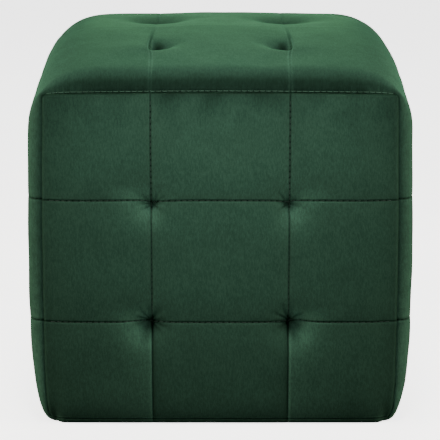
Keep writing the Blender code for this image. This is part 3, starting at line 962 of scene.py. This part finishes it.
# ------------------------------------------------------------
# The quilting thread. One dark green thread is sewn along every line of the quilting,
# and goes through the cloth at each hole.
# ------------------------------------------------------------
THREAD_RADIUS = 0.00021
THREAD_SIDES = 6
THREAD_BOW = 0.00030          # how far a stitch stands off the cloth at its middle
THREAD_DIP = 0.00110          # how far it goes in at a hole
THREAD_SUNK = 0.0012          # how much deeper a stitch lies where the pile hides it
THREAD_GREEN = (0.006, 0.018, 0.011)
TWIST_TONES = (0.75, 1.15)    # darkest and lightest of the twist, as shares of the green
TWIST_SCALE = 900.0


def sewing_thread(name, shade):
    """Twisted polyester thread with a slight shine."""
    material, nodes, links, fibre = surface(name, roughness=0.55, specular=0.15)
    place = nodes.new("ShaderNodeTexCoord")
    twist = nodes.new("ShaderNodeTexWave")
    twist.bands_direction = "DIAGONAL"
    twist.inputs["Scale"].default_value = TWIST_SCALE
    twist.inputs["Distortion"].default_value = 1.0
    links.new(place.outputs["Object"], twist.inputs["Vector"])
    colours = ramp(nodes, (0.0, 1.0), toned(shade, TWIST_TONES))
    links.new(twist.outputs["Fac"], colours.inputs["Fac"])
    links.new(colours.outputs["Color"], fibre.inputs["Base Color"])
    return material


def sew(bm, path, normals, shares, shown=1.0):
    """A thread along a line of stitches, which dips into the cloth at every hole.

    Shown is 1 where the stitches lie on the cloth, and 0 where they are hidden in the pile.
    """
    bow = np.broadcast_to(THREAD_BOW - THREAD_SUNK * (1.0 - shown), shares.shape)
    lift = bow - (bow + THREAD_DIP) * hole(shares)
    centres = path + normals * lift[:, None]
    ahead = np.gradient(centres, axis=0)
    ahead /= np.linalg.norm(ahead, axis=1, keepdims=True)
    aside = np.cross(ahead, normals)
    aside /= np.linalg.norm(aside, axis=1, keepdims=True)
    over = np.cross(aside, ahead)
    turn = 2.0 * math.pi * np.arange(THREAD_SIDES) / THREAD_SIDES
    rings = (centres[:, None] + THREAD_RADIUS * (aside[:, None] * np.cos(turn)[:, None]
                                                 + over[:, None] * np.sin(turn)[:, None]))
    verts = [[bm.verts.new(point) for point in ring] for ring in rings]
    for near, far in zip(verts, verts[1:]):
        strip(bm, near, far, closed=True)
    bm.faces.new(verts[0][::-1])
    bm.faces.new(verts[-1])


quilting_thread = sewing_thread("quilting_thread", THREAD_GREEN)

# Along the lines of each panel.
panel_normals = -outward(panel_points)
shown = np.minimum(2.0 * smooth_curve(COLUMN_SHOWN, height), 1.0)
up, along = slice(len(HEM_LINES), -len(EDGE_LINES)), slice(len(EDGE_LINES), -len(EDGE_LINES))
for name, facing in (("front_quilting", -1), ("back_quilting", 1)):
    turn = np.array((-facing, -facing, 1.0))
    bm = bmesh.new()
    for place in (-STITCH_COLUMN, STITCH_COLUMN):
        line = np.argmin(np.abs(across - place))
        sew(bm, panel_points[line, up] * turn, panel_normals[line, up] * turn, row_shares[up],
            shown[up])
    for place in STITCH_ROWS:
        line = np.argmin(np.abs(height - place))
        sew(bm, panel_points[along, line] * turn, panel_normals[along, line] * turn,
            column_shares[along])
    finish_piece(name, bm, quilting_thread)

# Along the lines of the band: six across it, and two that run with it.
band_normals = outward(band_points)
up, along = slice(len(HEM_LINES), -len(HEM_LINES)), slice(ROLL_LINES, -ROLL_LINES)
bm = bmesh.new()
for line in np.flatnonzero(band["to_row"] < ON_LINE):
    sew(bm, band_points[line, along], band_normals[line, along], band["column_shares"][along],
        band_shown["row"][line, along])
for line in np.flatnonzero(band["to_column"][len(band_points) // 2] < ON_LINE):
    sew(bm, band_points[up, line], band_normals[up, line], band["row_shares"][up],
        band_shown["column"][up, line])
finish_piece("band_quilting", bm, quilting_thread)


# ------------------------------------------------------------
# The topstitching. A row of light green stitches holds down the band's edge just above
# the front and back top seams.
# ------------------------------------------------------------
TOPSTITCH_GREEN = (0.034, 0.084, 0.052)
TOPSTITCH_ABOVE = 0.0013      # from the seam to the row of stitches, over the roll
TOPSTITCH_PARTS = 6           # mesh parts in one stitch
TOPSTITCH_CLEAR = 0.004       # the row stops this far inside the seam's corners


def evenly(path, step):
    """Points of a line, moved to equal steps along it."""
    length = run(path)[-1]
    return at_runs(path, np.linspace(0.0, length, int(round(length / step)) + 1))


topstitch_thread = sewing_thread("topstitch_thread", TOPSTITCH_GREEN)
bm = bmesh.new()
for seam_line, beside_line in ((0, 1), (-1, -2)):
    seam = band_points[:, seam_line]
    over = band_points[:, beside_line]
    wide = np.linalg.norm(over - seam, axis=1, keepdims=True)
    path = seam + (over - seam) * np.minimum(TOPSTITCH_ABOVE / wide, 1.0)
    outside = np.cross(np.gradient(path, axis=0), over - seam) * (1 if seam_line else -1)
    outside /= np.linalg.norm(outside, axis=1, keepdims=True)
    on_top = ((seam[:, 2] > SEAM_TOP - SEAM_CORNER / 2)
              & (np.abs(seam[:, 0]) < SEAM_WIDTHS[-1][1] - TOPSTITCH_CLEAR))
    even = evenly(path[on_top], STITCH / TOPSTITCH_PARTS)
    even_out = np.stack([np.interp(run(even), run(path[on_top]), part)
                         for part in outside[on_top].T], -1)
    shares = (np.arange(len(even)) % TOPSTITCH_PARTS) / TOPSTITCH_PARTS
    sew(bm, even, even_out, shares)
finish_piece("seam_topstitch", bm, topstitch_thread)


# ------------------------------------------------------------
# The base cloth. A square of black cotton closes the underside. It is stretched flat,
# and its turned edge is sewn down all round.
# ------------------------------------------------------------
COTTON_BLACK = (0.012, 0.012, 0.013)
BASE_HALF = 0.110
BASE_CELLS = 44
BASE_UNDER = 0.0006           # underside of the cloth above the floor, at its edge
BASE_THICK = 0.0009
BASE_EDGE = 0.010             # width of the turned edge
BASE_EDGE_STEP = 0.0007
BASE_EDGE_SLOPE = 0.005
BASE_TENSION = 0.0012         # how far the middle is drawn up
WEAVE_SCALE = 1400.0
WEAVE_LIGHT = 1.9             # how much lighter every other thread is
WEAVE_RELIEF = (0.3, 0.0002)

cotton, nodes, links, cotton_cloth = surface("black_cotton", roughness=0.92, specular=0.2)
weave_place = nodes.new("ShaderNodeTexCoord")
weave = nodes.new("ShaderNodeTexChecker")
weave.inputs["Scale"].default_value = WEAVE_SCALE
weave.inputs["Color1"].default_value = (*COTTON_BLACK, 1.0)
weave.inputs["Color2"].default_value = (*(WEAVE_LIGHT * part for part in COTTON_BLACK), 1.0)
links.new(weave_place.outputs["Object"], weave.inputs["Vector"])
links.new(weave.outputs["Color"], cotton_cloth.inputs["Base Color"])
relief(nodes, links, weave.outputs["Fac"], *WEAVE_RELIEF, cotton_cloth)

bm = bmesh.new()
lines = np.linspace(-BASE_HALF, BASE_HALF, BASE_CELLS + 1)
x, y = np.meshgrid(lines, lines, indexing="ij")
from_edge = BASE_HALF - np.maximum(np.abs(x), np.abs(y))
drawn_up = BASE_TENSION * np.sin(math.pi / 2 * unit(from_edge / BASE_HALF))
edge_step = BASE_EDGE_STEP * unit((from_edge - BASE_EDGE) / BASE_EDGE_SLOPE + 1.0)
under = BASE_UNDER + drawn_up + edge_step
rings = [outer_ring(cloth_faces(bm, np.stack((x, y, level), -1)))
         for level in (under, under + BASE_THICK)]
strip(bm, *rings, closed=True)
base = finish_piece("base_cloth_sheet", bm, cotton)
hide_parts("base_cloth")


# ------------------------------------------------------------
# The floor, the lights and the camera. The pouf stands on white paper under an even sky.
# Beams light it from above, in front and behind, and soft boxes from the sides, behind and
# overhead.
# ------------------------------------------------------------
PAPER_WHITE = (0.86, 0.86, 0.86, 1.0)
PAPER_GLOW = 3.0              # the paper is lit from below, like a light table
FLOOR_FLAT = 5.0              # the paper lies flat this far out, and then sweeps up
FLOOR_SWEEP = 4.0
FLOOR_ROUND = 48              # mesh lines round the floor, and up its sweep
FLOOR_RISE_LINES = 12
SKY_STRENGTH = 0.30
WHITE = (1.0, 1.0, 1.0)
WARM_WHITE = (1.0, 0.91, 0.78)
MIDDLE = (0.0, 0.0, 0.15)
LIGHTS = (                    # name, kind, place, aim, degrees wide, size, watts, colour
    ("top_beam", "SPOT", (0.0, -0.45, 1.30), (0.0, -0.17, 0.24), 24.0, 0.12, 52.0, WHITE),
    ("front_beam", "SPOT", (0.0, -1.70, 0.90), (0.0, -0.15, 0.275), 15.0, 0.15, 180.0, WHITE),
    ("left_box", "AREA", (-1.2, -0.3, 0.6), MIDDLE, 180.0, 0.5, 25.0, WARM_WHITE),
    ("right_box", "AREA", (1.2, -0.3, 0.6), MIDDLE, 180.0, 0.5, 25.0, WARM_WHITE),
    ("back_box", "AREA", (0.0, 1.2, 0.9), (0.0, 0.1, 0.15), 180.0, 0.5, 4.0, WHITE),
    ("back_beam", "SPOT", (0.0, 1.90, 0.45), (0.0, 0.15, 0.15), 15.0, 0.15, 170.0, WHITE),
    ("overhead", "AREA", (0.0, 0.25, 1.2), (0.0, 0.0, 0.28), 60.0, 0.6, 1.5, WHITE),
)
CAMERA_PLACE = (-0.0002, -1.543, 0.5483)
CAMERA_TILT = math.radians(90.0 - 15.30)
CAMERA_LENS = 155.85          # in millimetres, with the sensor's width
CAMERA_SENSOR = 36.0

paper, nodes, links, paper_surface = surface("white_paper", roughness=0.9, specular=0.1)
paper_surface.inputs["Base Color"].default_value = PAPER_WHITE
paper_surface.inputs["Emission Color"].default_value = (*WHITE, 1.0)
paper_surface.inputs["Emission Strength"].default_value = PAPER_GLOW
turn = 2.0 * math.pi * np.arange(FLOOR_ROUND) / FLOOR_ROUND
rise = math.pi / 2 * np.arange(FLOOR_RISE_LINES + 1) / FLOOR_RISE_LINES
bm = bmesh.new()
rings = []
for out, up in zip(FLOOR_FLAT + FLOOR_SWEEP * np.sin(rise), FLOOR_SWEEP * (1.0 - np.cos(rise))):
    rings.append([bm.verts.new((out * math.cos(way), out * math.sin(way), up)) for way in turn])
close_ring(bm, rings[0])
for near, far in zip(rings, rings[1:]):
    strip(bm, far, near, closed=True)
floor = in_scene("floor", smooth_mesh("floor", bm, paper))
floor.visible_diffuse = False
floor.visible_shadow = False

# The sky is even above the floor and dark below it.
world = bpy.data.worlds.new("studio")
bpy.context.scene.world = world
world.use_nodes = True
nodes, links = world.node_tree.nodes, world.node_tree.links
sky = nodes["Background"]
sky.inputs["Color"].default_value = (*WHITE, 1.0)
direction = nodes.new("ShaderNodeTexCoord")
upward = nodes.new("ShaderNodeSeparateXYZ")
links.new(direction.outputs["Generated"], upward.inputs["Vector"])
strength = upward.outputs["Z"]
for operation, value in (("GREATER_THAN", 0.0), ("MULTIPLY", SKY_STRENGTH)):
    node = nodes.new("ShaderNodeMath")
    node.operation = operation
    node.inputs[1].default_value = value
    links.new(strength, node.inputs[0])
    strength = node.outputs["Value"]
links.new(strength, sky.inputs["Strength"])

# Spots are the beams, and areas the soft boxes.
for name, kind, place, aim, degrees, size, watts, colour in LIGHTS:
    lamp = bpy.data.lights.new(name, kind)
    lamp.energy = watts
    lamp.color = colour
    if kind == "SPOT":
        lamp.spot_size = math.radians(degrees)
        lamp.spot_blend = 1.0
        lamp.shadow_soft_size = size
    else:
        lamp.spread = math.radians(degrees)
        lamp.size = size
    light = in_scene(name, lamp)
    light.location = place
    light.rotation_euler = (Vector(aim) - Vector(place)).to_track_quat("-Z", "Y").to_euler()

view = bpy.data.cameras.new("view")
view.lens = CAMERA_LENS
view.sensor_width = CAMERA_SENSOR
camera = in_scene("view", view)
camera.location = CAMERA_PLACE
camera.rotation_euler = (CAMERA_TILT, 0.0, 0.0)
bpy.context.scene.camera = camera
